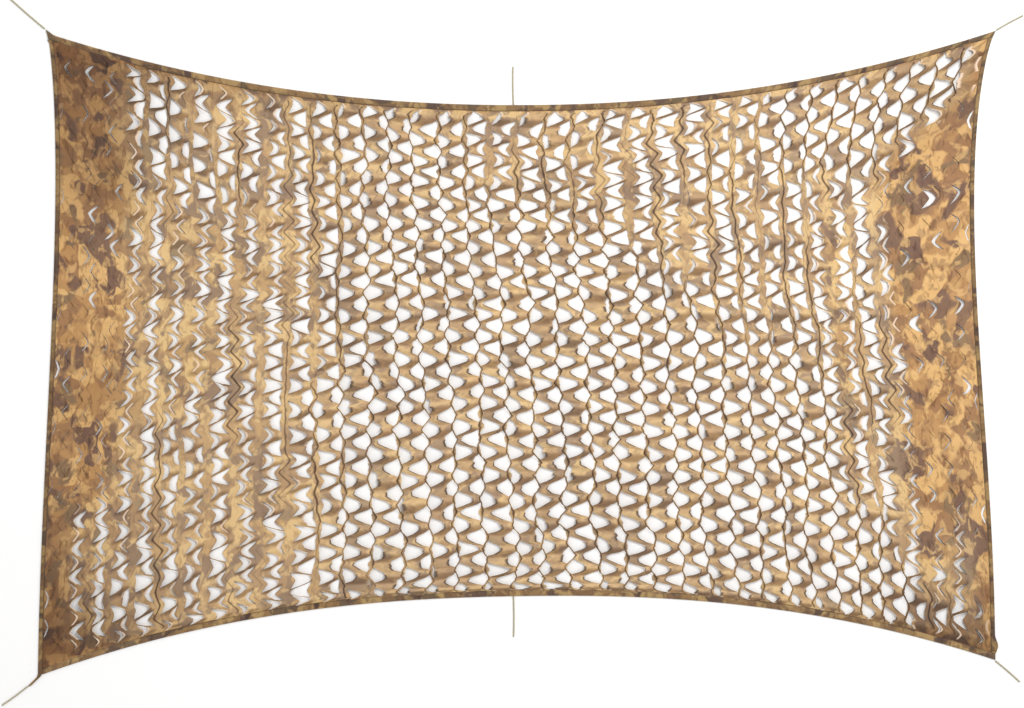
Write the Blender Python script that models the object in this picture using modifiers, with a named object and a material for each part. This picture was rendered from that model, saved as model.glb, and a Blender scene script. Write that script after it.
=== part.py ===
# Camouflage netting, spread out flat on a surface: one die-cut sheet of cloth stretched wide,
# a folded binding sewn over each of its four edges, and six short ties that leave the binding.
# Metres. +X runs along the net, +Y towards its top edge, +Z up off the surface that it lies on.
import math
from collections import namedtuple

import bmesh
import bpy
from mathutils import Vector

# Outer corners of the bound net, and how far its edges bow in between them.
CORNERS = {
    "top_left": Vector((-1.467, 1.0235)),
    "top_right": Vector((1.522, 1.0315)),
    "bottom_right": Vector((1.519, -0.950)),
    "bottom_left": Vector((-1.4956, -1.001)),
}
TOP_BOW = 0.230
TOP_BOW_POWER = 2.1
BOTTOM_BOW = 0.2265
BOTTOM_BOW_POWER = 2.3
LEFT_BOW = 0.034
RIGHT_BOW = 0.068
SIDE_BOW_RISE = 0.75
SIDE_BOW_FALL = 2.0

# The cut pattern: columns of cells across the net and rows up it. Each cell opens into a gap.
CELL_COLUMNS = 37
CELL_ROWS = 22
COLUMN_WIDENING = 0.10      # cells are this much wider than average in the middle
FIRST_GAP_COLUMN = 4
GAP_COLUMN_STEP = 3
GAP_COLUMN_COUNT = 10
FIRST_GAP_ROW = 1.5
GAP_ROW_STEP = 2
GAP_ROW_COUNT = 10
GAP_WIDTH = 0.048
GAP_HEIGHT = 0.040          # at the gap's flat side
GAP_TIP_SHARE = 0.28        # height at its tip, as a share of that
GAP_CENTRE_SHIFT = 0.17     # a gap's middle lies this share of a cell off the cell's middle

# Cloth and binding.
CLOTH_THICKNESS = 0.002
PIECE_GAP = 0.0003
BUTT_GAP = 0.0004
LONG_BINDING_WIDTH = 0.020  # along the top and the bottom
SIDE_BINDING_WIDTH = 0.014
BINDING_CLOTH = 0.0012
BINDING_HEIGHT = 0.005
FOLD_ROUNDING = 0.0022
CLOTH_INSET = 0.005         # from the binding's outer fold to the cut edge inside it
CLOTH_LIFT = BINDING_CLOTH + PIECE_GAP
LIFT_END = LONG_BINDING_WIDTH + 0.004
FLAT_START = 0.060          # beyond this the cloth lies on the surface

# Crumpled folds that run down the slack cloth near each side.
FOLD_WANDER = 0.008
Fold = namedtuple("Fold", "side trough crest height waves phase")
FOLDS = (
    Fold("left", trough=0.116, crest=0.088, height=0.013, waves=2.6, phase=0.4),
    Fold("left", trough=0.184, crest=0.150, height=0.011, waves=3.3, phase=1.9),
    Fold("left", trough=0.246, crest=0.216, height=0.008, waves=2.1, phase=3.1),
    Fold("right", trough=0.130, crest=0.094, height=0.014, waves=2.9, phase=0.9),
    Fold("right", trough=0.208, crest=0.170, height=0.012, waves=2.2, phase=2.4),
    Fold("right", trough=0.286, crest=0.248, height=0.009, waves=3.5, phase=4.0),
)

# Where the end of a binding spreads into a small ear, and the loose tail at the bottom left.
Ear = namedtuple("Ear", "binding at out reach")
EARS = (
    Ear("top", at=0.0, out=Vector((-0.004, 0.0125)), reach=0.022),
    Ear("left", at=1.0, out=Vector((-0.018, 0.0)), reach=0.028),
    Ear("right", at=0.0224, out=Vector((0.0118, 0.0)), reach=0.030),
)
TAIL_LENGTH = 0.0345
TAIL_SLANT = 1.0            # the tail moves this far left for each metre down

# Ties of cord: where each leaves the binding and where its bare end lies.
TIE_DIAMETER = 0.0055
TIE_POINT_SPACING = 0.0125
TIE_BOW = 0.0012
Tie = namedtuple("Tie", "name start end")
TIES = (
    Tie("tie_top_left", Vector((-1.4775, 1.0405)), Vector((-1.5905, 1.1390))),
    Tie("tie_top_right", Vector((1.5250, 1.0345)), Vector((1.6072, 1.0790))),
    Tie("tie_top_middle", Vector((0.0020, 0.8015)), Vector((0.0005, 0.9180))),
    Tie("tie_bottom_middle", Vector((0.0020, -0.7525)), Vector((0.0024, -0.8770))),
    Tie("tie_bottom_left", Vector((-1.5345, -1.0385)), Vector((-1.6080, -1.0925))),
    Tie("tie_bottom_right", Vector((1.5225, -0.9555)), Vector((1.5960, -1.0190))),
)


def between(corner_a, corner_b, share):
    return CORNERS[corner_a].lerp(CORNERS[corner_b], share)


def top_edge(u):
    bow = TOP_BOW * (1 - abs(2 * u - 1) ** TOP_BOW_POWER)
    return between("top_left", "top_right", u) - Vector((0, bow))


def bottom_edge(u):
    bow = BOTTOM_BOW * (1 - abs(2 * u - 1) ** BOTTOM_BOW_POWER)
    return between("bottom_left", "bottom_right", u) + Vector((0, bow))


def side_bow(v):
    # 0 at both corners and 1 at the deepest point, which lies nearer the top.
    down = min(max(1 - v, 0), 1)
    peak = SIDE_BOW_RISE / (SIDE_BOW_RISE + SIDE_BOW_FALL)
    return (down / peak) ** SIDE_BOW_RISE * ((1 - down) / (1 - peak)) ** SIDE_BOW_FALL


def left_edge(v):
    return between("bottom_left", "top_left", v) + Vector((LEFT_BOW * side_bow(v), 0))


def right_edge(v):
    return between("bottom_right", "top_right", v) - Vector((RIGHT_BOW * side_bow(v), 0))


def spread(u, v):
    # The place on the spread net that is u of the way across and v of the way up.
    across = left_edge(v).lerp(right_edge(v), u)
    upward = bottom_edge(u).lerp(top_edge(u), v)
    corners = between("bottom_left", "bottom_right", u).lerp(between("top_left", "top_right", u), v)
    return across + upward - corners


def width_at(v):
    return (right_edge(v) - left_edge(v)).length


def height_at(u):
    return (top_edge(u) - bottom_edge(u)).length


def column_place(cells):
    # Cells are narrow near the sides and widest in the middle, where the net is stretched most.
    turn = 2 * math.pi
    return cells / CELL_COLUMNS - COLUMN_WIDENING * math.sin(turn * cells / CELL_COLUMNS) / turn


def make_material(name, color, roughness):
    material = bpy.data.materials.new(name)
    material.use_nodes = True
    shader = material.node_tree.nodes["Principled BSDF"]
    shader.inputs["Base Color"].default_value = (*color, 1.0)
    shader.inputs["Roughness"].default_value = roughness
    shader.inputs["Metallic"].default_value = 0.0
    material.diffuse_color = (*color, 1.0)
    return material


def make_sheet(name, columns, rows, place, thickness, offset, material, open_faces=()):
    # A grid whose lines are moved into place, cut where it is open and given its thickness.
    bm = bmesh.new()
    bmesh.ops.create_grid(bm, x_segments=len(columns) - 1, y_segments=len(rows) - 1, size=0.5)
    grid = {}
    for vert in bm.verts:
        i = round((vert.co.x + 0.5) * (len(columns) - 1))
        j = round((vert.co.y + 0.5) * (len(rows) - 1))
        grid[vert] = (i, j)
    cut = [face for face in bm.faces if min(grid[vert] for vert in face.verts) in open_faces]
    bmesh.ops.delete(bm, geom=cut, context="FACES_ONLY")
    for vert in bm.verts:
        i, j = grid[vert]
        vert.co = place(columns[i], rows[j])
    mesh = bpy.data.meshes.new(name)
    bm.to_mesh(mesh)
    bm.free()
    mesh.materials.append(material)
    sheet = bpy.data.objects.new(name, mesh)
    solidify = sheet.modifiers.new("Thickness", "SOLIDIFY")
    solidify.thickness = thickness
    solidify.offset = offset
    solidify.use_even_offset = True
    return sheet


# A line of the cloth's grid: a share of the way across or up, then metres from there.
Column = namedtuple("Column", "share offset kind height waves phase tip row_shift")
Row = namedtuple("Row", "share offset kind")


def column(share, offset, kind, height=0.0, waves=0.0, phase=0.0, tip=1.0, row_shift=0.0):
    return Column(share, offset, kind, height, waves, phase, tip, row_shift)


def edge_columns(share, inward):
    lines = [column(share, inward * CLOTH_INSET, "edge"), column(share, inward * LIFT_END, "edge")]
    lines.append(column(share, inward * FLAT_START, "flat"))
    return lines


def fold_columns(side, share, inward):
    lines = []
    for fold in FOLDS:
        if fold.side == side:
            lines.append(column(share, inward * fold.crest, "crest", fold.height, fold.waves, fold.phase))
            lines.append(column(share, inward * fold.trough, "flat"))
    return lines


def gap_columns():
    # Gaps that point right stand on whole rows, and those that point left on the half rows between.
    lines = []
    for index in range(GAP_COLUMN_COUNT):
        points_left = index % 2
        cell = FIRST_GAP_COLUMN + GAP_COLUMN_STEP * index + 0.5
        cell += GAP_CENTRE_SHIFT if points_left else -GAP_CENTRE_SHIFT
        tips = (GAP_TIP_SHARE, 1.0) if points_left else (1.0, GAP_TIP_SHARE)
        for side, tip in zip((-1, 1), tips):
            lines.append(column(column_place(cell), side * GAP_WIDTH / 2, "gap", tip=tip,
                                row_shift=0.5 * points_left))
    return lines


def cloth_columns():
    left = edge_columns(0, 1) + fold_columns("left", 0, 1)
    right = edge_columns(1, -1) + fold_columns("right", 1, -1)
    return left + gap_columns() + right[::-1]


def cloth_rows():
    bottom = [Row(0, CLOTH_INSET, "edge"), Row(0, LIFT_END, "edge"), Row(0, FLAT_START, "flat")]
    top = [Row(1, -FLAT_START, "flat"), Row(1, -LIFT_END, "edge"), Row(1, -CLOTH_INSET, "edge")]
    middle = []
    for index in range(GAP_ROW_COUNT):
        share = (FIRST_GAP_ROW + GAP_ROW_STEP * index) / CELL_ROWS
        middle += [Row(share, -GAP_HEIGHT / 2, "gap"), Row(share, GAP_HEIGHT / 2, "gap")]
    return bottom + middle + top


def cloth_place(column, row):
    v = row.share
    offset = row.offset
    if row.kind == "gap":
        v += column.row_shift / CELL_ROWS
        offset *= column.tip
    u = column.share + column.offset / width_at(v)
    v += offset / height_at(u)
    lift = CLOTH_LIFT if "edge" in (column.kind, row.kind) else 0.0
    if column.kind == "crest":
        wave = column.waves * math.pi * v + column.phase
        u += FOLD_WANDER * math.sin(2 * wave) / width_at(v)
        if row.kind == "gap":
            lift = column.height * (0.45 + 0.55 * math.sin(wave) ** 2)
    return spread(u, v).to_3d() + Vector((0, 0, lift))


def make_cloth():
    columns = cloth_columns()
    rows = cloth_rows()
    first_column = next(i for i, line in enumerate(columns) if line.kind == "gap")
    first_row = next(j for j, line in enumerate(rows) if line.kind == "gap")
    gaps = {(first_column + 2 * i, first_row + 2 * j)
            for i in range(GAP_COLUMN_COUNT) for j in range(GAP_ROW_COUNT)}
    material = make_material("camouflage_cloth", (0.46, 0.31, 0.17), 0.62)
    return make_sheet("net_cloth", columns, rows, cloth_place, CLOTH_THICKNESS, 1.0, material, gaps)


def binding_folds(width):
    # The folded strip seen end on, at the middle of its cloth: under leaf, fold, upper leaf.
    low = BINDING_CLOTH / 2
    high = BINDING_HEIGHT - BINDING_CLOTH / 2
    return (
        (width, low),
        (FOLD_ROUNDING, low),
        (low, low + FOLD_ROUNDING / 2),
        (low, high - FOLD_ROUNDING / 2),
        (FOLD_ROUNDING, high),
        (width, high),
    )


def binding_stations(segments, start, end):
    # Shares along an edge, closer together near both ends, where the ears are.
    near_ends = (0.006, 0.012, 0.020)
    even = [start + (end - start) * i / segments for i in range(segments + 1)]
    extra = [start + step for step in near_ends] + [end - step for step in near_ends]
    return sorted(even + extra)


def binding_place(binding, station, inward, height):
    if binding == "left":
        down = min(station, 0) * height_at(0)
        point = spread(inward / width_at(station), station)
        point.x += TAIL_SLANT * down
        length = height_at(0)
    elif binding == "right":
        point = spread(1 - inward / width_at(station), station)
        length = height_at(1)
    elif binding == "top":
        point = spread(station, 1 - inward / height_at(station))
        length = width_at(1)
    else:
        point = spread(station, inward / height_at(station))
        length = width_at(0)
    for ear in EARS:
        if ear.binding == binding:
            closeness = max(0.0, 1 - abs(station - ear.at) * length / ear.reach)
            point += ear.out * closeness * max(0.0, 1 - inward / SIDE_BINDING_WIDTH)
    return point.to_3d() + Vector((0, 0, height))


def make_bindings():
    # The top binding runs into both its corners, the left one past the bottom, and the rest butt.
    butt_across = (SIDE_BINDING_WIDTH + BUTT_GAP) / width_at(0)
    butt_left = (LONG_BINDING_WIDTH + BUTT_GAP) / height_at(0)
    butt_right = (LONG_BINDING_WIDTH + BUTT_GAP) / height_at(1)
    Run = namedtuple("Run", "width segments start end")
    runs = {
        "top": Run(LONG_BINDING_WIDTH, 26, 0.0, 1.0),
        "bottom": Run(LONG_BINDING_WIDTH, 26, butt_across, 1.0),
        "left": Run(SIDE_BINDING_WIDTH, 18, -TAIL_LENGTH / height_at(0), 1 - butt_left),
        "right": Run(SIDE_BINDING_WIDTH, 18, butt_right, 1 - butt_right),
    }
    material = make_material("binding_cloth", (0.40, 0.27, 0.13), 0.66)
    bindings = []
    for name, run in runs.items():
        stations = binding_stations(run.segments, run.start, run.end)

        def place(fold, station, binding=name):
            return binding_place(binding, station, *fold)

        bindings.append(make_sheet("binding_" + name, binding_folds(run.width), stations, place,
                                   BINDING_CLOTH, 0.0, material))
    return bindings


def make_tie(tie, material):
    run = tie.end - tie.start
    aside = Vector((-run.y, run.x)).normalized()
    count = max(8, round(run.length / TIE_POINT_SPACING))
    curve = bpy.data.curves.new(tie.name, "CURVE")
    curve.dimensions = "3D"
    curve.bevel_depth = TIE_DIAMETER / 2
    curve.bevel_resolution = 2
    curve.use_fill_caps = True
    spline = curve.splines.new("POLY")
    spline.points.add(count - 1)
    for i, point in enumerate(spline.points):
        share = i / (count - 1)
        spot = tie.start + run * share + aside * TIE_BOW * math.sin(math.pi * share)
        point.co = (spot.x, spot.y, TIE_DIAMETER / 2, 1.0)
    curve.materials.append(material)
    return bpy.data.objects.new(tie.name, curve)


def make_ties():
    material = make_material("tie_cord", (0.45, 0.40, 0.27), 0.75)
    return [make_tie(tie, material) for tie in TIES]


def clear_scene():
    for old in list(bpy.data.objects):
        bpy.data.objects.remove(old, do_unlink=True)


def main():
    clear_scene()
    net = bpy.data.collections.new("camouflage_net")
    bpy.context.scene.collection.children.link(net)
    for piece in [make_cloth()] + make_bindings() + make_ties():
        net.objects.link(piece)


main()
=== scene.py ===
import math

import bpy
import numpy as np
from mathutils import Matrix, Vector


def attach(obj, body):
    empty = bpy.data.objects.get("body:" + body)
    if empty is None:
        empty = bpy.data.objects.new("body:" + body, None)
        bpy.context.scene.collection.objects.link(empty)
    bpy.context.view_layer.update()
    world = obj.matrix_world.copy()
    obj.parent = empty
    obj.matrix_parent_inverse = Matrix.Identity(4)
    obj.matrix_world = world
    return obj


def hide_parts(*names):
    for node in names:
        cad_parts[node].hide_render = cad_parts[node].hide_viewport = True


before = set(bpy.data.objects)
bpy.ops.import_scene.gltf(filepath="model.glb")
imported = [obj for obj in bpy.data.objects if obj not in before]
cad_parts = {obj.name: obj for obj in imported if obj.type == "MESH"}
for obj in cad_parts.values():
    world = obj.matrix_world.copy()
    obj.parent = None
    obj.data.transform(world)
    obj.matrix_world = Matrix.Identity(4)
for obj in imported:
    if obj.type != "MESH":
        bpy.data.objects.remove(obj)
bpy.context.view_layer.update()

# The spread net lies face up, X along its length, and all sizes are in metres.
outline = {
    "topLeft": (-1.467, 1.0235), "topRight": (1.522, 1.0315),
    "bottomRight": (1.519, -0.950), "bottomLeft": (-1.4956, -1.001),
    "topBow": 0.230, "topPower": 2.1,
    "bottomBow": 0.2265, "bottomPower": 2.3,
    "leftBow": 0.034, "rightBow": 0.068, "sideRise": 0.75, "sideFall": 2.0,
}


def lerp(a, b, share):
    return a + (b - a) * share


def step(value, low, high):
    share = np.clip((value - low) / (high - low), 0, 1)
    return share * share * (3 - 2 * share)


def uneven(a, b, seed, size=1.0, waves=6):
    # a smooth field, about -1 to 1, from a few crossing waves
    rng = np.random.default_rng(seed)
    total = np.zeros(np.broadcast(a, b).shape)
    for _ in range(waves):
        angle = rng.uniform(0, 2 * math.pi)
        rate = rng.uniform(0.6, 1.7) / size
        total += np.sin(rate * (a * math.cos(angle) + b * math.sin(angle)) + rng.uniform(0, 6.28))
    return total / math.sqrt(waves / 2) / 1.6


def topEdge(u):
    bow = outline["topBow"] * (1 - np.abs(2 * u - 1) ** outline["topPower"])
    a, b = outline["topLeft"], outline["topRight"]
    return lerp(a[0], b[0], u), lerp(a[1], b[1], u) - bow


def bottomEdge(u):
    bow = outline["bottomBow"] * (1 - np.abs(2 * u - 1) ** outline["bottomPower"])
    a, b = outline["bottomLeft"], outline["bottomRight"]
    return lerp(a[0], b[0], u), lerp(a[1], b[1], u) + bow


def sideBow(v):
    # 0 at both corners and 1 at the deepest point, which lies nearer the top
    rise, fall = outline["sideRise"], outline["sideFall"]
    down = np.clip(1 - v, 0, 1)
    peak = rise / (rise + fall)
    return (down / peak) ** rise * ((1 - down) / (1 - peak)) ** fall


def leftEdge(v):
    a, b = outline["bottomLeft"], outline["topLeft"]
    return lerp(a[0], b[0], v) + outline["leftBow"] * sideBow(v), lerp(a[1], b[1], v)


def rightEdge(v):
    a, b = outline["bottomRight"], outline["topRight"]
    return lerp(a[0], b[0], v) - outline["rightBow"] * sideBow(v), lerp(a[1], b[1], v)


def spread(u, v):
    # u across and v up the net, both 0 to 1, give x and y; all four bowed edges are met
    left, right, top, bottom = leftEdge(v), rightEdge(v), topEdge(u), bottomEdge(u)
    place = []
    for axis in (0, 1):
        low = lerp(outline["bottomLeft"][axis], outline["bottomRight"][axis], u)
        high = lerp(outline["topLeft"][axis], outline["topRight"][axis], u)
        place.append(lerp(left[axis], right[axis], u) + lerp(bottom[axis], top[axis], v) - lerp(low, high, v))
    return place


def widthAt(v):
    left, right = leftEdge(v), rightEdge(v)
    return np.hypot(right[0] - left[0], right[1] - left[1])


def heightAt(u):
    top, bottom = topEdge(u), bottomEdge(u)
    return np.hypot(top[0] - bottom[0], top[1] - bottom[1])


def makePiece(name, verts, faces):
    mesh = bpy.data.meshes.new(name)
    mesh.from_pydata([tuple(map(float, vert)) for vert in verts], [], faces)
    mesh.update()
    piece = bpy.data.objects.new(name, mesh)
    bpy.context.scene.collection.objects.link(piece)
    return piece


def cornerVerts(piece):
    corners = np.zeros(len(piece.data.loops), dtype=np.int32)
    piece.data.loops.foreach_get("vertex_index", corners)
    return corners


def countTriangles(piece):
    return sum(len(face.vertices) - 2 for face in piece.data.polygons)


def thicken(piece, thickness):
    bpy.ops.object.select_all(action="DESELECT")
    piece.select_set(True)
    bpy.context.view_layer.objects.active = piece
    wall = piece.modifiers.new("thickness", "SOLIDIFY")
    wall.thickness = thickness
    wall.offset = 0
    bpy.ops.object.modifier_apply(modifier=wall.name)
    bpy.ops.object.shade_smooth_by_angle(angle=math.radians(50))


def paintMap(piece, name, values):
    # one pair of numbers per corner of each face, as a map the materials read
    layer = piece.data.uv_layers.new(name=name)
    layer.data.foreach_set("uv", np.asarray(values, dtype=np.float32).ravel())


camera = {"height": 7.0, "across": 3.2256, "centre": (-0.0025, 0.0134)}


def addCamera():
    data = bpy.data.cameras.new("camera")
    view = bpy.data.objects.new("camera", data)
    bpy.context.scene.collection.objects.link(view)
    view.location = (*camera["centre"], camera["height"])
    data.sensor_width = 36
    data.lens = data.sensor_width * camera["height"] / camera["across"]
    bpy.context.scene.camera = view


tieCord = {
    "diameter": 0.0055, "bow": 0.0012, "rest": 0.00275, "points": 20,
    "strands": 3, "lay": 0.017, "rings": 9, "sides": 8,
}

ties = (
    {"node": "tie_top_left", "start": (-1.4737, 1.0372), "end": (-1.5905, 1.1390)},
    {"node": "tie_top_right", "start": (1.5228, 1.0333), "end": (1.6072, 1.0790)},
    {"node": "tie_top_middle", "start": (0.0020, 0.7987), "end": (0.0005, 0.9180)},
    {"node": "tie_bottom_middle", "start": (0.0020, -0.7501), "end": (0.0024, -0.8770)},
    {"node": "tie_bottom_left", "start": (-1.5297, -1.0349), "end": (-1.6080, -1.0925)},
    {"node": "tie_bottom_right", "start": (1.5193, -0.9528), "end": (1.5960, -1.0190)},
)


def tieRoute(tie, count):
    start = Vector((*tie["start"], tieCord["rest"]))
    end = Vector((*tie["end"], tieCord["rest"]))
    along = (end - start).normalized()
    aside = Vector((-along.y, along.x, 0))
    shares = [i / (count - 1) for i in range(count)]
    return [start.lerp(end, k) + aside * tieCord["bow"] * math.sin(math.pi * k) for k in shares]


def makeTie(tie, material):
    # strands twisted round the route, each a closed tube
    radius = tieCord["diameter"] / 2
    strandRadius = radius * 0.50
    route = tieRoute(tie, tieCord["points"])
    length = sum((b - a).length for a, b in zip(route, route[1:]))
    rings = int(length / tieCord["lay"] * tieCord["rings"]) + 2
    fine = tieRoute(tie, rings)
    verts, faces, maps = [], [], []
    for strand in range(tieCord["strands"]):
        first = len(verts)
        for i, centre in enumerate(fine):
            ahead = (fine[min(i + 1, rings - 1)] - fine[max(i - 1, 0)]).normalized()
            aside = Vector((-ahead.y, ahead.x, 0))
            up = ahead.cross(aside)
            turn = 2 * math.pi * (strand / tieCord["strands"] + i / tieCord["rings"])
            out = aside * math.cos(turn) + up * math.sin(turn)
            middle = centre + out * (radius - strandRadius) * 0.98
            for side in range(tieCord["sides"]):
                roll = 2 * math.pi * side / tieCord["sides"]
                verts.append(middle + (aside * math.cos(roll) + up * math.sin(roll)) * strandRadius)
        sides = tieCord["sides"]
        for i in range(rings - 1):
            for side in range(sides):
                a = first + i * sides + side
                b = first + i * sides + (side + 1) % sides
                faces.append((a, b, b + sides, a + sides))
                near, far = i / tieCord["rings"], (i + 1) / tieCord["rings"]
                low, high = side / sides, (side + 1) / sides
                maps += [(near, low), (near, high), (far, high), (far, low)]
        last = first + (rings - 1) * sides
        faces.append(tuple(first + side for side in reversed(range(sides))))
        faces.append(tuple(last + side for side in range(sides)))
        maps += [(0, side / sides) for side in range(sides)] * 2
    piece = makePiece(tie["node"] + "_cord", verts, faces)
    paintMap(piece, "twist", maps)
    piece.data.materials.append(material)
    piece.data.shade_smooth()
    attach(piece, "root")
    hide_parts(tie["node"])


def groupNode(nodes, group):
    node = nodes.new("ShaderNodeGroup")
    node.node_tree = group
    return node


def mixColor(nodes, links, factor, low, high, blend="MIX"):
    # a colour mix whose factor and ends are sockets or fixed values
    mix = nodes.new("ShaderNodeMix")
    mix.data_type = "RGBA"
    mix.blend_type = blend
    for socket, value in ((mix.inputs["Factor"], factor), (mix.inputs["A"], low), (mix.inputs["B"], high)):
        if isinstance(value, bpy.types.NodeSocket):
            links.new(value, socket)
        elif isinstance(value, tuple):
            socket.default_value = (*value, 1)
        else:
            socket.default_value = value
    return mix.outputs["Result"]


def remap(nodes, links, value, low, high, toLow=0.0, toHigh=1.0):
    scale = nodes.new("ShaderNodeMapRange")
    scale.inputs["From Min"].default_value = low
    scale.inputs["From Max"].default_value = high
    scale.inputs["To Min"].default_value = toLow
    scale.inputs["To Max"].default_value = toHigh
    links.new(value, scale.inputs["Value"])
    return scale.outputs["Result"]


def noise(nodes, links, vector, scale, detail=2.0, distortion=0.0):
    field = nodes.new("ShaderNodeTexNoise")
    field.inputs["Scale"].default_value = scale
    field.inputs["Detail"].default_value = detail
    field.inputs["Distortion"].default_value = distortion
    links.new(vector, field.inputs["Vector"])
    return field.outputs["Fac"]


def combine(nodes, links, operation, a, b):
    both = nodes.new("ShaderNodeMath")
    both.operation = operation
    links.new(a, both.inputs[0])
    links.new(b, both.inputs[1])
    return both.outputs[0]


def mapOutput(nodes, name):
    layer = nodes.new("ShaderNodeUVMap")
    layer.uv_map = name
    return layer.outputs["UV"]


def mapParts(nodes, links, name):
    # the two numbers that one of the piece's maps carries
    parts = nodes.new("ShaderNodeSeparateXYZ")
    links.new(mapOutput(nodes, name), parts.inputs[0])
    return parts.outputs["X"], parts.outputs["Y"]


camouflage = {
    "ground": (0.47, 0.275, 0.105),
    "blots": (
        {"color": (0.335, 0.185, 0.080), "scale": 8.5, "at": (3.1, 7.7), "cover": 0.505},
        {"color": (0.70, 0.465, 0.190), "scale": 10.5, "at": (9.4, 1.3), "cover": 0.535},
        {"color": (0.235, 0.155, 0.080), "scale": 11.0, "at": (5.9, 12.1), "cover": 0.615},
        {"color": (0.165, 0.092, 0.062), "scale": 9.5, "at": (14.2, 4.4), "cover": 0.565},
    ),
    "edge": 0.016,
    # scale, cover, colour and strength of the small flecks
    "flecks": (
        (34, 0.54, 0.60, (0.22, 0.125, 0.065), 0.48),
        (27, 0.555, 0.62, (0.72, 0.49, 0.21), 0.60),
    ),
}


def camouflageGroup():
    # ragged blots of five earth colours laid over each other
    group = bpy.data.node_groups.new("camouflagePrint", "ShaderNodeTree")
    group.interface.new_socket("Vector", in_out="INPUT", socket_type="NodeSocketVector")
    group.interface.new_socket("Color", in_out="OUTPUT", socket_type="NodeSocketColor")
    nodes, links = group.nodes, group.links
    begin = nodes.new("NodeGroupInput")
    end = nodes.new("NodeGroupOutput")
    color = camouflage["ground"]
    for blot in camouflage["blots"]:
        move = nodes.new("ShaderNodeMapping")
        move.inputs["Location"].default_value = (*blot["at"], 0)
        links.new(begin.outputs["Vector"], move.inputs["Vector"])
        field = noise(nodes, links, move.outputs[0], blot["scale"], 2.5, 0.35)
        cover, edge = blot["cover"], camouflage["edge"]
        mask = remap(nodes, links, field, cover - edge, cover + edge)
        color = mixColor(nodes, links, mask, color, blot["color"])
    for scale, low, high, tint, strength in camouflage["flecks"]:
        field = noise(nodes, links, begin.outputs["Vector"], scale, 3.0, 0.6)
        mask = remap(nodes, links, field, low, high, 0.0, strength)
        color = mixColor(nodes, links, mask, color, tint)
    links.new(color, end.inputs["Color"])
    return group


def weaveGroup():
    # fine crossed threads and soft crumples, as one height
    group = bpy.data.node_groups.new("wovenCrumple", "ShaderNodeTree")
    group.interface.new_socket("Vector", in_out="INPUT", socket_type="NodeSocketVector")
    group.interface.new_socket("Crumple", in_out="INPUT", socket_type="NodeSocketFloat")
    group.interface.new_socket("Height", in_out="OUTPUT", socket_type="NodeSocketFloat")
    nodes, links = group.nodes, group.links
    begin = nodes.new("NodeGroupInput")
    end = nodes.new("NodeGroupOutput")
    threads = []
    for angle in (0.0, math.pi / 2):
        turn = nodes.new("ShaderNodeMapping")
        turn.inputs["Rotation"].default_value = (0, 0, angle)
        links.new(begin.outputs["Vector"], turn.inputs["Vector"])
        thread = nodes.new("ShaderNodeTexWave")
        thread.inputs["Scale"].default_value = 260
        thread.inputs["Distortion"].default_value = 0.6
        links.new(turn.outputs[0], thread.inputs["Vector"])
        threads.append(remap(nodes, links, thread.outputs["Fac"], 0, 1, 0, 0.00008))
    crossed = combine(nodes, links, "ADD", *threads)
    stretch = nodes.new("ShaderNodeMapping")
    stretch.inputs["Rotation"].default_value = (0, 0, 0.45)
    stretch.inputs["Scale"].default_value = (1.0, 0.42, 1.0)
    links.new(begin.outputs["Vector"], stretch.inputs["Vector"])
    folds = noise(nodes, links, stretch.outputs[0], 42, 3.0, 1.2)
    deep = combine(nodes, links, "MULTIPLY", folds, begin.outputs["Crumple"])
    links.new(combine(nodes, links, "ADD", crossed, deep), end.inputs["Height"])
    return group


def clothMaterial(name, crumple):
    # printed cloth: its flat map places the print and the weave
    material = bpy.data.materials.new(name)
    material.use_nodes = True
    nodes, links = material.node_tree.nodes, material.node_tree.links
    shader = nodes["Principled BSDF"]
    shader.inputs["Specular IOR Level"].default_value = 0.35
    flat = mapOutput(nodes, "flatCloth")
    prints = groupNode(nodes, camoPrint)
    links.new(flat, prints.inputs["Vector"])
    woven = groupNode(nodes, weave)
    links.new(flat, woven.inputs["Vector"])
    woven.inputs["Crumple"].default_value = crumple
    bump = nodes.new("ShaderNodeBump")
    bump.inputs["Distance"].default_value = 1.0
    bump.inputs["Strength"].default_value = 0.9
    links.new(woven.outputs["Height"], bump.inputs["Height"])
    links.new(bump.outputs["Normal"], shader.inputs["Normal"])
    fade = noise(nodes, links, flat, 5.0, 4.0)
    links.new(remap(nodes, links, fade, 0.3, 0.7, 0.50, 0.68), shader.inputs["Roughness"])
    faded = remap(nodes, links, fade, 0.35, 0.75, 0.0, 0.16)
    wornAndShaded = mixColor(nodes, links, faded, prints.outputs["Color"], (0.62, 0.47, 0.30))
    # painted shade: darker streaks along the crumple creases, from a stretched noise, multiplied over the
    # worn print
    creases = nodes.new("ShaderNodeMapping")
    creases.inputs["Rotation"].default_value = (0, 0, 0.5)
    creases.inputs["Scale"].default_value = (1.0, 0.40, 1.0)
    links.new(flat, creases.inputs["Vector"])
    lines = noise(nodes, links, creases.outputs[0], 62, 3.0, 0.8)
    crumpleShade = remap(nodes, links, lines, 0.45, 0.32, 0.0, 0.70)
    wornAndShaded = mixColor(nodes, links, crumpleShade, wornAndShaded, (0.45, 0.36, 0.30), "MULTIPLY")
    return material, nodes, links, shader, wornAndShaded


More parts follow.
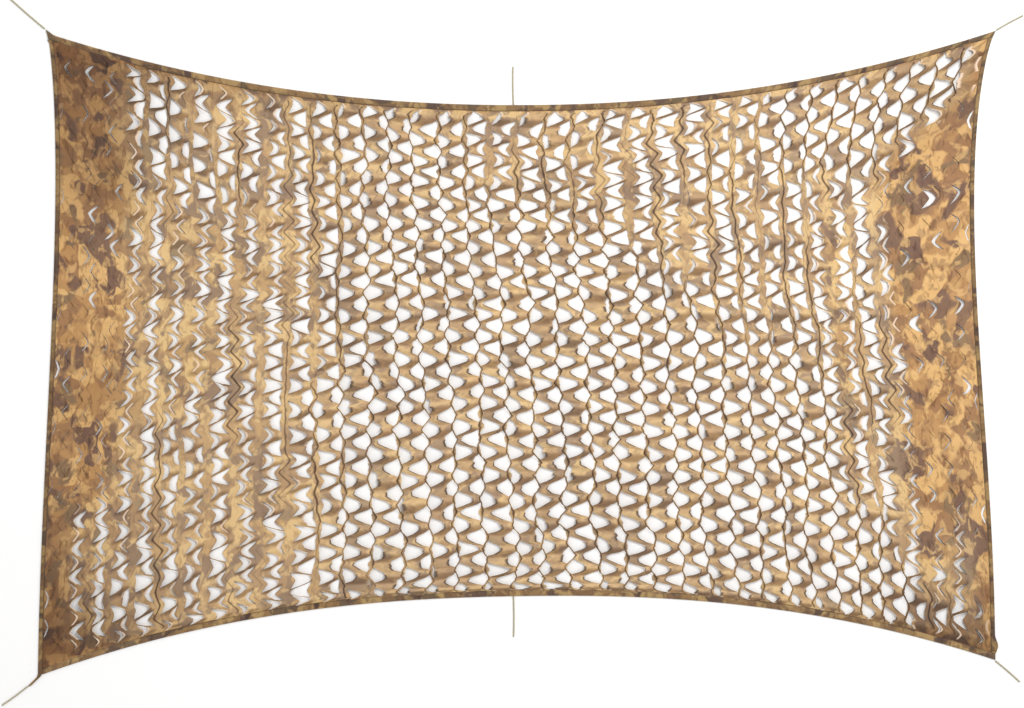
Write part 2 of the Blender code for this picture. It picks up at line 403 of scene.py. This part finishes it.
def cordMaterial():
    material = bpy.data.materials.new("khakiCord")
    material.use_nodes = True
    nodes, links = material.node_tree.nodes, material.node_tree.links
    shader = nodes["Principled BSDF"]
    shader.inputs["Roughness"].default_value = 0.72
    stretch = nodes.new("ShaderNodeMapping")
    stretch.inputs["Scale"].default_value = (1.0, 14.0, 1.0)
    stretch.inputs["Rotation"].default_value = (0, 0, 0.5)
    links.new(mapOutput(nodes, "twist"), stretch.inputs["Vector"])
    fibre = noise(nodes, links, stretch.outputs[0], 3.0, 3.0)
    pale = remap(nodes, links, fibre, 0.3, 0.7)
    color = mixColor(nodes, links, pale, (0.33, 0.29, 0.19), (0.52, 0.47, 0.33))
    links.new(color, shader.inputs["Base Color"])
    bump = nodes.new("ShaderNodeBump")
    bump.inputs["Distance"].default_value = 0.0004
    links.new(fibre, bump.inputs["Height"])
    links.new(bump.outputs["Normal"], shader.inputs["Normal"])
    return material


net = {
    "columns": 37, "rows": 22, "widening": 0.10,
    "lean": 0.034,               # the columns lean right on the way down, as a share of the width
    "squash": (0.42, 0.18),      # how much the rows crowd at the bottom and top edges
    "hemHidden": 0.009,          # how deep the cut edge sits in the binding
    "thickness": 0.0008,
    "hemHeight": 0.0025,
    "slackHeight": 0.0045, "spreadHeight": 0.010, "twist": 0.0075,
    "lowest": 0.0008, "highest": 0.0250,
    "cellSize": (0.078, 0.074),  # one cell of the flat cloth
    "narrowest": 0.10,           # least width of a wide strip, in cells
    "seed": 11,
}

# Where the slits stand more or less open than usual: centre column and row, reach and amount.
openPatches = (
    {"column": 18.8, "row": 8.5, "wide": 6.0, "high": 9.0, "amount": 0.45},
    {"column": 14.5, "row": 17.5, "wide": 3.0, "high": 4.0, "amount": 0.25},
    {"column": 20.5, "row": 18.5, "wide": 3.5, "high": 3.2, "amount": -0.22},
    {"column": 31.3, "row": 12.5, "wide": 0.8, "high": 6.5, "amount": -0.50},
    {"column": 32.6, "row": 12.0, "wide": 1.0, "high": 7.5, "amount": 0.25},
    {"column": 25.5, "row": 14.5, "wide": 2.2, "high": 5.5, "amount": -0.24},
    {"column": 27.5, "row": 4.5, "wide": 4.5, "high": 3.6, "amount": 0.34},
    {"column": 6.0, "row": 2.0, "wide": 4.5, "high": 2.2, "amount": 0.20},
    {"column": 6.2, "row": 7.0, "wide": 4.2, "high": 4.2, "amount": 0.13},
    {"column": 4.8, "row": 19.5, "wide": 1.8, "high": 2.0, "amount": 0.28},
    {"column": 35.4, "row": 20.8, "wide": 2.6, "high": 1.9, "amount": 0.75},
    {"column": 33.0, "row": 1.6, "wide": 2.4, "high": 1.8, "amount": 0.55},
    {"column": 35.6, "row": 0.9, "wide": 1.8, "high": 1.0, "amount": 0.55},
    {"column": 1.4, "row": 1.2, "wide": 1.2, "high": 0.9, "amount": 0.32},
    {"column": 35.6, "row": 3.0, "wide": 1.2, "high": 2.2, "amount": 0.35},
    {"column": 2.3, "row": 2.8, "wide": 1.3, "high": 2.2, "amount": 0.40},
    {"column": 31.5, "row": 20.0, "wide": 2.5, "high": 2.4, "amount": 0.30},
)

# Painted shade: where the cloth is drawn darkest, most of all in the bunched corners.
bunchedShadePatches = (
    {"column": 1.0, "row": 21.0, "wide": 4.2, "high": 2.6, "amount": 0.85},
    {"column": 2.0, "row": 17.8, "wide": 1.8, "high": 2.2, "amount": 0.45},
    {"column": 35.6, "row": 0.2, "wide": 4.2, "high": 1.7, "amount": 1.00},
    {"column": 1.8, "row": 0.6, "wide": 3.8, "high": 1.7, "amount": 0.80},
    {"column": 36.0, "row": 20.6, "wide": 2.6, "high": 2.2, "amount": 0.45},
    {"column": 0.3, "row": 3.6, "wide": 1.7, "high": 3.6, "amount": 0.60},
    {"column": 9.0, "row": 21.8, "wide": 9.0, "high": 0.7, "amount": 0.40},
)


def addPatches(total, patches, s, r):
    for patch in patches:
        far = ((s - patch["column"]) / patch["wide"]) ** 2 + ((r - patch["row"]) / patch["high"]) ** 2
        total = total + patch["amount"] * np.exp(-far)
    return total


def bunchedShade(s, r):
    total = addPatches(np.zeros(len(s)), bunchedShadePatches, s, r)
    return np.clip(total + 0.10 * uneven(s, r, 71, 1.3), 0, 1)


def openness(s, r):
    # 0 where the cloth lies slack and its slits are shut, 1 where they are pulled wide
    level = 0.46 * step(s, 1.9, 4.2) + 0.28 * step(s, 6.5, 15.0)
    limit = 34.5 + 4.8 * np.exp(-((net["rows"] - r) / 2.6) ** 2)
    level = level * step(limit - s, 0.0, 2.6)
    level = addPatches(level, openPatches, s, r)
    level = level + 0.11 * uneven(s, r, 21, 2.4) + 0.08 * uneven(s, r, 22, 0.9)
    return np.clip(level, 0.02, 1.0) * edgeFade(s, r, 0.9, 0.45)


def leftShare(strip, strong, weak):
    # near the left side most slits that point left stay nearly shut, and the painted shade of their creases
    # is fainter
    return lerp(strong if strip % 3 == 2 else weak, 1.0, float(step(strip, 7.5, 11.5)))


def edgeFade(s, r, across, up):
    n, rows = net["columns"], net["rows"]
    return step(s, 0.05, across) * step(n - s, 0.05, across) * step(r, 0.0, up) * step(rows - r, 0.0, up)


def slackFolds(s, r):
    # crumpled folds down both slack sides, and creases that run in from the corners
    n, rows = net["columns"], net["rows"]
    wander = 0.5 * uneven(r * 0.4, s * 0.2, 31, 1.4)
    slack = step(5.0 - s, 0, 3.0) + step(s - (n - 5.5), 0, 3.0)
    ridge = np.abs(np.sin(math.pi * (s * 0.55 + wander + 0.05 * r))) ** 1.5
    small = np.abs(uneven(s * 2.6 + r * 0.8, r * 1.7, 33, 0.55))
    height = slack * (0.0065 * ridge * (0.65 + 0.35 * uneven(s * 0.3, r * 0.7, 32, 1.0)) + 0.0050 * small)
    for column, row, reach in ((0, rows, 4.2), (0, 0, 3.2), (n, rows, 2.6), (n, 0, 3.6)):
        ds, dr = s - column, r - row
        far = np.hypot(ds, dr * 0.95)
        angle = np.arctan2(np.abs(dr), np.abs(ds))
        crease = np.abs(np.sin(angle * 9 + 0.8 * np.sin(far)))
        height = height + 0.006 * crease * np.exp(-(far / reach) ** 2) * step(far, 0.2, 1.2)
    return height


def triangle(r):
    # the zigzag of the cuts: 1 at half rows and -1 at whole rows, with eased points
    return np.arcsin(0.97 * np.sin(2 * math.pi * (r - 0.25))) / math.asin(0.97)


def columnPlace(s):
    n = net["columns"]
    return s / n - net["widening"] * np.sin(2 * math.pi * s / n) / (2 * math.pi)


def rowPlace(r, u):
    share = r / net["rows"]
    middle = 1 - np.abs(2 * u - 1) ** 4
    reach = 0.085
    low = net["squash"][0] * share * np.exp(-share / reach)
    high = net["squash"][1] * (1 - share) * np.exp(-(1 - share) / reach)
    return share - middle * (low - high)


def onNet(s, r):
    # cell coordinates to the place on the floor
    drift = 0.16 * uneven(s * 0.6, r * 0.6, 61, 2.0) + 0.09 * uneven(s, r, 62, 0.8)
    s = s + drift * edgeFade(s, r, 2.0, 1.5)
    drift = 0.14 * uneven(s * 0.6, r * 0.5, 63, 1.6) + 0.08 * uneven(s, r, 64, 0.8)
    r = r + drift * edgeFade(s, r, 1.5, 1.2)
    u = columnPlace(s)
    v = rowPlace(r, u)
    u = u + net["lean"] * 6.75 * u * u * (1 - u) * (0.5 - v)
    hem = net["hemHidden"]
    u = lerp(hem / widthAt(v), 1 - hem / widthAt(v), u)
    v = lerp(hem / heightAt(u), 1 - hem / heightAt(u), v)
    return spread(u, v)


def buildNet():
    n, rows = net["columns"], net["rows"]
    rng = np.random.default_rng(net["seed"])
    shares = (0.0, 0.07, 0.14, 0.25, 0.36, 0.43, 0.5, 0.57, 0.64, 0.75, 0.86, 0.93)
    perRow = len(shares)
    r = np.array([k + share for k in range(rows) for share in shares] + [rows], float)
    kind = np.array(list(range(perRow)) * rows + [0])
    inside = (r > 0.5) & (r < rows - 0.5)
    cutRight = (kind >= 3) & (kind <= 9)               # slits round the points that face right
    cutLeft = ((kind <= 3) | (kind >= 9)) & inside     # slits round the points that face left
    zig = triangle(r)
    phase = (1 - np.cos(2 * math.pi * r)) / 2           # 1 at half rows, 0 at whole rows
    slant = np.sin(2 * math.pi * r)                    # above 0 on strokes that rise to the right
    halfRow = np.clip(np.floor(r).astype(int), 0, rows)
    wholeRow = np.clip(np.round(r).astype(int), 0, rows)
    fromHalf = (r - np.floor(r) - 0.5) / 0.36          # -1 to 1 along a slit that points right
    fromWhole = (r - np.round(r)) / 0.36
    extraOpen = rng.normal(0, 0.22, (2, n, rows + 1))
    flop = rng.uniform(0, 1, (2, n + 1, rows + 1)) ** 2.2
    lipLift = rng.uniform(0.3, 1.0, (2, n, rows + 1))
    ragged = rng.normal(0, 0.014, (2, n, len(r)))
    jagged = rng.normal(0, 0.013, (n + 1, len(r)))      # small kinks along the narrow strips
    wobble = rng.normal(0, 0.045, (n + 1, 2 * rows + 1))  # and slower wandering of them

    verts, flats = [], []

    def add(s, rr, z, flatS, where=slice(None)):
        x, y = onNet(s, rr)
        edge = edgeFade(s, rr, 0.6, 0.5)
        z = np.clip(lerp(net["hemHeight"], z, edge), net["lowest"], net["highest"])
        first = len(verts)
        chosen = np.arange(len(rr))[where]
        verts.extend(zip(x[where], y[where], z[where]))
        flats.extend(zip(flatS[where] * net["cellSize"][0], rr[where] * net["cellSize"][1]))
        index = np.full(len(rr), -1)
        index[chosen] = first + np.arange(len(chosen))
        return index

    def baseHeight(s, level):
        height = lerp(net["slackHeight"], net["spreadHeight"], step(level, 0.1, 0.8))
        height = height + slackFolds(s, r) + 0.0016 * uneven(s, r, 41, 0.9)
        return height + 0.0012 * uneven(s * 2.2, r * 2.2, 42, 0.9)

    spine, left, right = [], [], []                    # of each narrow strip, at every row line
    level, lifts = [], []
    for c in range(n + 1):
        side = np.full(len(r), float(c))
        opened = openness(np.clip(side, 0.35, n - 0.35), r)
        inward = step(side, 0, 0.8) * step(n - side, 0, 0.8)
        pulled = np.interp(r, np.arange(2 * rows + 1) / 2, wobble[c]) - 0.11 * zig + jagged[c]
        middle = lerp(0.20 * zig, pulled, step(opened, 0.60, 0.75)) * inward
        far = lerp(0.5, 1.0, inward)
        tongueR = 0.19 * flop[0, c, halfRow] * np.clip(np.cos(2 * math.pi * (r - 0.5)), 0, 1) ** 2
        tongueL = 0.19 * flop[1, c, wholeRow] * np.clip(np.cos(2 * math.pi * r), 0, 1) ** 2
        lipEase = step(opened, 0.50, 0.90)
        base = baseHeight(side, opened)
        twist = net["twist"] * step(opened, 0.25, 0.9)
        spine.append(side + middle)
        right.append(side + lerp((0.25 + 0.20 * zig) * far, pulled + 0.026, lipEase) + tongueR * opened)
        left.append(side + lerp((-0.25 + 0.20 * zig) * far, pulled - 0.026, lipEase) - tongueL * opened)
        level.append(opened)
        lifts.append((base, twist))

    stripVerts = []
    for c in range(n + 1):
        base, twist = lifts[c]
        opened = level[c]
        dip = 0.0035 * opened * (1 - opened)
        bits = {}
        if c > 0:
            low = base - twist * (1 - phase) - 0.001 * (1 - opened)
            bits["left"] = add(left[c], r, low, c - 0.25 + 0.2 * zig)
        bits["spine"] = add(spine[c], r, base + twist * (phase - 0.5) - dip, c + 0.2 * zig)
        if c < n:
            high = base + twist * phase - 0.001 * (1 - opened)
            bits["right"] = add(right[c], r, high, c + 0.25 + 0.2 * zig)
        stripVerts.append(bits)

    faces, flatShade, lips, tones = [], [], [], []

    def skin(a, b, shadeA, shadeB, lipA, lipB, toneA, toneB):
        for j in range(len(r) - 1):
            faces.append((int(a[j]), int(b[j]), int(b[j + 1]), int(a[j + 1])))
            flatShade.extend((shadeA[j], shadeB[j], shadeB[j + 1], shadeA[j + 1]))
            lips.extend(((lipA[j], 0), (0, lipB[j]), (0, lipB[j + 1]), (lipA[j + 1], 0)))
            tones.extend((toneA[j], toneB[j], toneB[j + 1], toneA[j + 1]))

    nothing = np.zeros(len(r))
    for c in range(n):
        # the wide strip between narrow strips c and c + 1, cut free of them along the slits
        gapRight = np.clip(openness(c + 0.3, r) + extraOpen[0, c, halfRow], 0, 1.05)
        gapLeft = np.clip(openness(c + 0.7, r) + extraOpen[1, c, wholeRow], 0, 1.05)
        gapLeft = gapLeft * leftShare(c + 1, 1.0, 0.62)
        powerR, powerL = (lerp(6.0, 2.3, step(gap, 0.50, 0.85)) for gap in (gapRight, gapLeft))
        bulgeR = 1 - np.clip(np.abs(fromHalf + 0.05) / lerp(1, 0.90, gapRight), 0, 1) ** powerR
        bulgeL = 1 - np.clip(np.abs(fromWhole + 0.05) / lerp(1, 0.90, gapLeft), 0, 1) ** powerL
        fringe = edgeFade(np.full(len(r), c + 0.5), r, 0.8, 0.6)
        wideRight, wideLeft = (0.60 * gap ** 1.35 * fringe for gap in (gapRight, gapLeft))
        leftLip = right[c] + (0.003 + wideRight + ragged[0, c] * step(wideRight, 0.05, 0.3)) * bulgeR
        rightLip = left[c + 1] - (0.003 + wideLeft + ragged[1, c] * step(wideLeft, 0.05, 0.3)) * bulgeL
        crossed = np.clip(leftLip + net["narrowest"] - rightLip, 0, None) / 2
        leftLip, rightLip = leftLip - crossed, rightLip + crossed
        opened = openness(c + 0.5, r)
        base = baseHeight(c + 0.5, opened)
        tilt = 0.0045 * step(opened, 0.1, 0.8) * slant
        curl = 0.0022 + 0.0012 * opened
        zLeft = base + tilt + curl * lipLift[0, c, halfRow]
        zRight = base - tilt + curl * lipLift[1, c, wholeRow]
        a, b = stripVerts[c]["right"].copy(), stripVerts[c + 1]["left"].copy()
        madeA = add(leftLip, r, zLeft, c + 0.25 + 0.2 * zig, cutRight)
        madeB = add(rightLip, r, zRight, c + 0.75 + 0.2 * zig, cutLeft)
        a[cutRight] = madeA[cutRight]
        b[cutLeft] = madeB[cutLeft]
        # painted light on the cut lips: while half open they are pale, partly the paler back of the cloth and
        # partly a painted highlight where they curl up to the light; wide open, one stroke takes a painted
        # shadow line and the other a light tone
        pale = 0.95 * step(opened, 0.12, 0.40)
        toneA = lerp(pale, np.where(slant > 0, -0.95, 0.30), step(opened, 0.50, 0.85))
        toneB = lerp(pale, np.where(slant < 0, -0.95, 0.30), step(opened, 0.50, 0.85))
        # painted shade on the strokes that rise to the right, which tilt away from the light
        armShade = -0.6 * step(opened, 0.15, 0.55) * np.clip(slant * 1.3, 0, 1)
        skin(a, b, armShade, armShade, cutRight * 1.0, cutLeft * 1.0, toneA, toneB)
    for c in range(n + 1):
        bits = stripVerts[c]
        # painted shade along the narrow strips, which stand nearly on edge: darkest at the spine, broken here
        # and there, lighter toward the lips
        broken = step(uneven(3.1 * c, 0.45 * r, 51, 1.0), -0.9, 0.1)
        dark = lerp(step(level[c], 0.25, 0.60) * lerp(0.72, 1.0, broken), 1.0, step(level[c], 0.7, 0.9))
        dark = dark * leftShare(c, 1.0, 0.70)
        # below 0 shades the strokes that rise, where the slits are half open
        lipDark = 0.55 * step(level[c], 0.60, 1.0)
        rising = -0.6 * step(level[c], 0.15, 0.55) * np.clip(slant * 1.3, 0, 1) * step(level[c], 0.75, 0.5)
        lipDark = lipDark + rising
        if c > 0:
            skin(bits["left"], bits["spine"], lipDark, dark, nothing, nothing, nothing, nothing)
        if c < n:
            skin(bits["spine"], bits["right"], dark, lipDark, nothing, nothing, nothing, nothing)
    places = np.array(flats) / net["cellSize"]
    pull = np.column_stack((openness(places[:, 0], places[:, 1]), bunchedShade(places[:, 0], places[:, 1])))
    return verts, faces, flats, flatShade, lips, tones, pull


def netMaterial():
    material, nodes, links, shader, color = clothMaterial("printedCloth", 0.0016)
    shade, tone = mapParts(nodes, links, "shadeAndTone")
    pull, dark = mapParts(nodes, links, "pullAndDark")
    lip = combine(nodes, links, "MAXIMUM", *mapParts(nodes, links, "cutLips"))
    rim = remap(nodes, links, lip, 0.79, 0.91)
    # painted light: the slack sides are darkened and the pulled-open middle is lifted toward a pale tan,
    # standing in for light the open cloth lets through; the tan also softens the print there
    slack = remap(nodes, links, pull, 0.10, 0.45, 0.9, 0.0)
    color = mixColor(nodes, links, slack, color, (0.95, 0.84, 0.76), "MULTIPLY")
    tautPaintedLight = remap(nodes, links, pull, 0.20, 0.80, 0.0, 0.40)
    color = mixColor(nodes, links, tautPaintedLight, color, (0.66, 0.46, 0.27))
    # painted shade over the bunched, crumpled corners
    color = mixColor(nodes, links, dark, color, (0.36, 0.29, 0.25), "MULTIPLY")
    # painted shade on the rising strokes
    risingArmShade = remap(nodes, links, shade, -0.05, -0.60, 0.0, 0.85)
    color = mixColor(nodes, links, risingArmShade, color, (0.45, 0.38, 0.33), "MULTIPLY")
    # painted shade down the middle of the narrow strips that stand on edge
    crease = remap(nodes, links, shade, 0.66, 0.92, 0.0, 0.95)
    color = mixColor(nodes, links, crease, color, (0.17, 0.125, 0.095), "MULTIPLY")
    # pale lips, partly the paler back of the cloth and partly painted highlight, on one stroke of each slit,
    # and painted shadow lines on the other
    lipHighlightAndShadow = ((0.1, 0.8, (0.80, 0.61, 0.45), 0.9), (-0.2, -0.8, (0.09, 0.055, 0.035), 0.92))
    for low, high, tint, strength in lipHighlightAndShadow:
        toned = remap(nodes, links, tone, low, high, 0.0, strength)
        color = mixColor(nodes, links, combine(nodes, links, "MULTIPLY", toned, rim), color, tint)
    links.new(color, shader.inputs["Base Color"])
    return material


def makeNet():
    verts, faces, flats, shade, lips, tones, pull = buildNet()
    piece = makePiece("net_sheet", verts, faces)
    corners = cornerVerts(piece)
    paintMap(piece, "flatCloth", np.array(flats)[corners])
    paintMap(piece, "shadeAndTone", np.column_stack((shade, tones)))
    paintMap(piece, "cutLips", lips)
    paintMap(piece, "pullAndDark", pull[corners])
    piece.data.materials.append(netMaterial())
    thicken(piece, net["thickness"])
    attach(piece, "root")
    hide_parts("net_cloth")


bindings = {
    "low": 0.0006, "high": 0.0044, "butt": 0.0004,
    "longWidth": 0.020, "sideWidth": 0.014, "station": 0.010, "thickness": 0.0009,
    "stitch": (0.0032, 0.0050), "stitchIn": 0.003, "threadRadius": 0.00032,
}

# Small ears where the pull of a tie draws the binding out: station, direction and reach.
ears = {
    "top": {"at": 0.0, "out": (-0.004, 0.0125), "reach": 0.022},
    "left": {"at": 1.0, "out": (-0.018, 0.0), "reach": 0.028},
    "right": {"at": 0.0224, "out": (0.0118, 0.0), "reach": 0.030},
}


def bandRuns():
    wide, slim, butt = bindings["longWidth"], bindings["sideWidth"], bindings["butt"]
    return (
        {"side": "top", "width": wide, "from": 0.0, "to": 1.0, "length": float(widthAt(1.0)), "dark": 0.80},
        {"side": "bottom", "width": wide, "from": (slim + butt) / float(widthAt(0.0)), "to": 1.0,
         "length": float(widthAt(0.0)), "dark": 0.72},
        {"side": "left", "width": slim, "from": -0.0345 / float(heightAt(0.0)),
         "to": 1 - (wide + butt) / float(heightAt(0.0)), "length": float(heightAt(0.0)), "dark": 0.95},
        {"side": "right", "width": slim, "from": (wide + butt) / float(heightAt(1.0)),
         "to": 1 - (wide + butt) / float(heightAt(1.0)), "length": float(heightAt(1.0)), "dark": 0.90},
    )


def bandPlace(run, station, inward):
    side = run["side"]
    if side == "top":
        place = spread(station, 1 - inward / heightAt(station))
    elif side == "bottom":
        place = spread(station, inward / heightAt(station))
    elif side == "left":
        place = spread(inward / widthAt(station), station)
        place[0] = place[0] + np.minimum(station, 0) * heightAt(0.0)
    else:
        place = spread(1 - inward / widthAt(station), station)
    if side in ears:
        ear = ears[side]
        near = np.clip(1 - np.abs(station - ear["at"]) * run["length"] / ear["reach"], 0, 1)
        pulled = near * np.clip(1 - inward / 0.014, 0, 1)
        place = [place[axis] + ear["out"][axis] * pulled for axis in (0, 1)]
    return place


def foldedSection(width):
    # the strip folded over the hem: free edge below, round the fold, free edge above
    low, high = bindings["low"], bindings["high"]
    return (
        (width, low), (width * 0.5, low), (0.0024, low), (0.0012, low + 0.0003), (0.0007, low + 0.0012),
        (0.0007, high - 0.0012), (0.0012, high - 0.0003), (0.0026, high), (width * 0.35, high),
        (width * 0.62, high), (width - bindings["stitchIn"], high - 0.0003), (width, high - 0.0001),
    )


def topRelief(run, station, share, seed):
    # puckers between the stitches and small slanting wrinkles, only on the upper layer
    along = station * run["length"]
    pucker = 0.00022 * np.sin(2 * math.pi * along / 0.021 + share * 2) * step(share, 0.3, 0.9)
    wrinkle = 0.0006 * uneven(along * 28 + share * 3, share * 2.5, seed, 1.0)
    plump = 1 + 0.5 * uneven(along * 9, share, seed + 1, 1.0)
    puff = 0.0009 * np.sin(math.pi * np.clip(share, 0, 1)) * plump
    return puff + pucker + wrinkle * step(share, 0.1, 0.4)


def makeBinding(run, seed, cloth, thread):
    count = int((run["to"] - run["from"]) * run["length"] / bindings["station"]) + 2
    stations = np.linspace(run["from"], run["to"], count)
    section = foldedSection(run["width"])
    verts, faces, flats, marks = [], [], [], []
    acrossAt = np.cumsum([0] + [math.dist(a, b) for a, b in zip(section, section[1:])])
    rows = []
    for k, (inward, height) in enumerate(section):
        upper = k >= 7
        share = inward / run["width"]
        wander = 0.0007 * uneven(stations * run["length"] * 9, np.zeros(count), seed + 5, 1.0)
        edgeIn = inward + (wander * share if k in (0, 1, 9, 10, 11) else 0)
        x, y = bandPlace(run, stations, edgeIn)
        z = np.full(count, height)
        if upper:
            z = z + topRelief(run, stations, share, seed)
        rows.append(np.arange(count) + len(verts))
        verts.extend(zip(x, y, np.maximum(z, 0.0005)))
        along = stations * run["length"]
        for i in range(count):
            flats.append((along[i] + seed * 1.7, acrossAt[k]))
            marks.append((share if upper else 0.0, run["dark"]))
    for k in range(len(section) - 1):
        for i in range(count - 1):
            faces.append((int(rows[k][i]), int(rows[k][i + 1]), int(rows[k + 1][i + 1]), int(rows[k + 1][i])))
    if run["side"] in ("top", "left"):
        faces = [tuple(reversed(face)) for face in faces]
    piece = makePiece("binding_" + run["side"] + "_cloth", verts, faces)
    corners = cornerVerts(piece)
    paintMap(piece, "flatCloth", np.array(flats)[corners])
    paintMap(piece, "bandShade", np.array(marks)[corners])
    piece.data.materials.append(cloth)
    piece.data.materials.append(thread)
    thicken(piece, bindings["thickness"])
    stitches = makeStitches(run, seed, thread)
    bpy.ops.object.select_all(action="DESELECT")
    stitches.select_set(True)
    piece.select_set(True)
    bpy.context.view_layer.objects.active = piece
    bpy.ops.object.join()
    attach(piece, "root")
    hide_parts("binding_" + run["side"])
    print(piece.name, "triangles", countTriangles(piece))


def makeStitches(run, seed, thread):
    # one row of short raised threads along the free edge
    long, pitch = bindings["stitch"]
    radius = bindings["threadRadius"]
    count = int((run["to"] - run["from"]) * run["length"] / pitch) - 1
    inward = run["width"] - bindings["stitchIn"]
    rng = np.random.default_rng(seed + 40)
    verts, faces = [], []
    for i in range(count):
        centre = run["from"] + (i + 1) * pitch / run["length"]
        first = len(verts)
        sway = rng.uniform(-0.0003, 0.0003, 2)
        for part, lift in ((-0.5, -0.0002), (0.0, 0.0002), (0.5, -0.0002)):
            station = np.array([centre + part * long / run["length"]])
            depth = inward + sway[0] + sway[1] * part
            height = bindings["high"] + bindings["thickness"] / 2 + lift
            height = height + topRelief(run, station, depth / run["width"], seed)[0] - 0.0003
            for turn in range(4):
                roll = math.pi / 2 * turn
                x, y = bandPlace(run, station, depth + radius * math.cos(roll))
                verts.append((x[0], y[0], height + radius * math.sin(roll)))
        for ring in (0, 4):
            for turn in range(4):
                a, b = first + ring + turn, first + ring + (turn + 1) % 4
                faces.append((a, b, b + 4, a + 4))
        faces.append((first + 3, first + 2, first + 1, first))
        faces.append((first + 8, first + 9, first + 10, first + 11))
    if run["side"] in ("top", "left"):
        faces = [tuple(reversed(face)) for face in faces]
    piece = makePiece("stitches", verts, faces)
    piece.data.materials.append(thread)
    return piece


def bindingMaterial():
    material, nodes, links, shader, color = clothMaterial("bindingCloth", 0.0009)
    across, dark = mapParts(nodes, links, "bandShade")
    color = mixColor(nodes, links, dark, color, (0.36, 0.33, 0.29), "MULTIPLY")
    # painted shadow along the inner edge of the band's upper layer, where it stands over the net
    innerEdgeShadow = remap(nodes, links, across, 0.80, 1.0, 0.0, 0.8)
    color = mixColor(nodes, links, innerEdgeShadow, color, (0.22, 0.17, 0.13), "MULTIPLY")
    links.new(color, shader.inputs["Base Color"])
    return material


def threadMaterial():
    material = bpy.data.materials.new("stitchThread")
    material.use_nodes = True
    shader = material.node_tree.nodes["Principled BSDF"]
    shader.inputs["Base Color"].default_value = (0.16, 0.115, 0.07, 1)
    shader.inputs["Roughness"].default_value = 0.6
    return material


print("camera and ties")
addCamera()
cordFinish = cordMaterial()
for tie in ties:
    makeTie(tie, cordFinish)

camoPrint = camouflageGroup()
weave = weaveGroup()

print("net cloth")
makeNet()

print("bindings")
bandCloth, bandThread = bindingMaterial(), threadMaterial()
for number, run in enumerate(bandRuns()):
    makeBinding(run, number + 1, bandCloth, bandThread)

print("floor and light")
bpy.ops.mesh.primitive_plane_add(size=14, location=(0, 0, 0))
floor = bpy.context.object
floor.name = "floor"
floorMaterial = bpy.data.materials.new("paleFloor")
floorMaterial.use_nodes = True
floorMaterial.node_tree.nodes["Principled BSDF"].inputs["Base Color"].default_value = (0.93, 0.925, 0.92, 1)
floorMaterial.node_tree.nodes["Principled BSDF"].inputs["Roughness"].default_value = 0.9
floor.data.materials.append(floorMaterial)

world = bpy.data.worlds.new("studio")
bpy.context.scene.world = world
world.use_nodes = True
world.node_tree.nodes["Background"].inputs["Color"].default_value = (1, 1, 1, 1)
world.node_tree.nodes["Background"].inputs["Strength"].default_value = 0.82
bpy.ops.object.light_add(type="AREA", location=(1.6, 2.1, 4.4))
lamp = bpy.context.object
lamp.data.size = 2.4
lamp.data.energy = 140
lamp.rotation_euler = (Vector((0, 0, 0)) - lamp.location).to_track_quat("-Z", "Y").to_euler()

bpy.context.scene.view_settings.view_transform = "Standard"
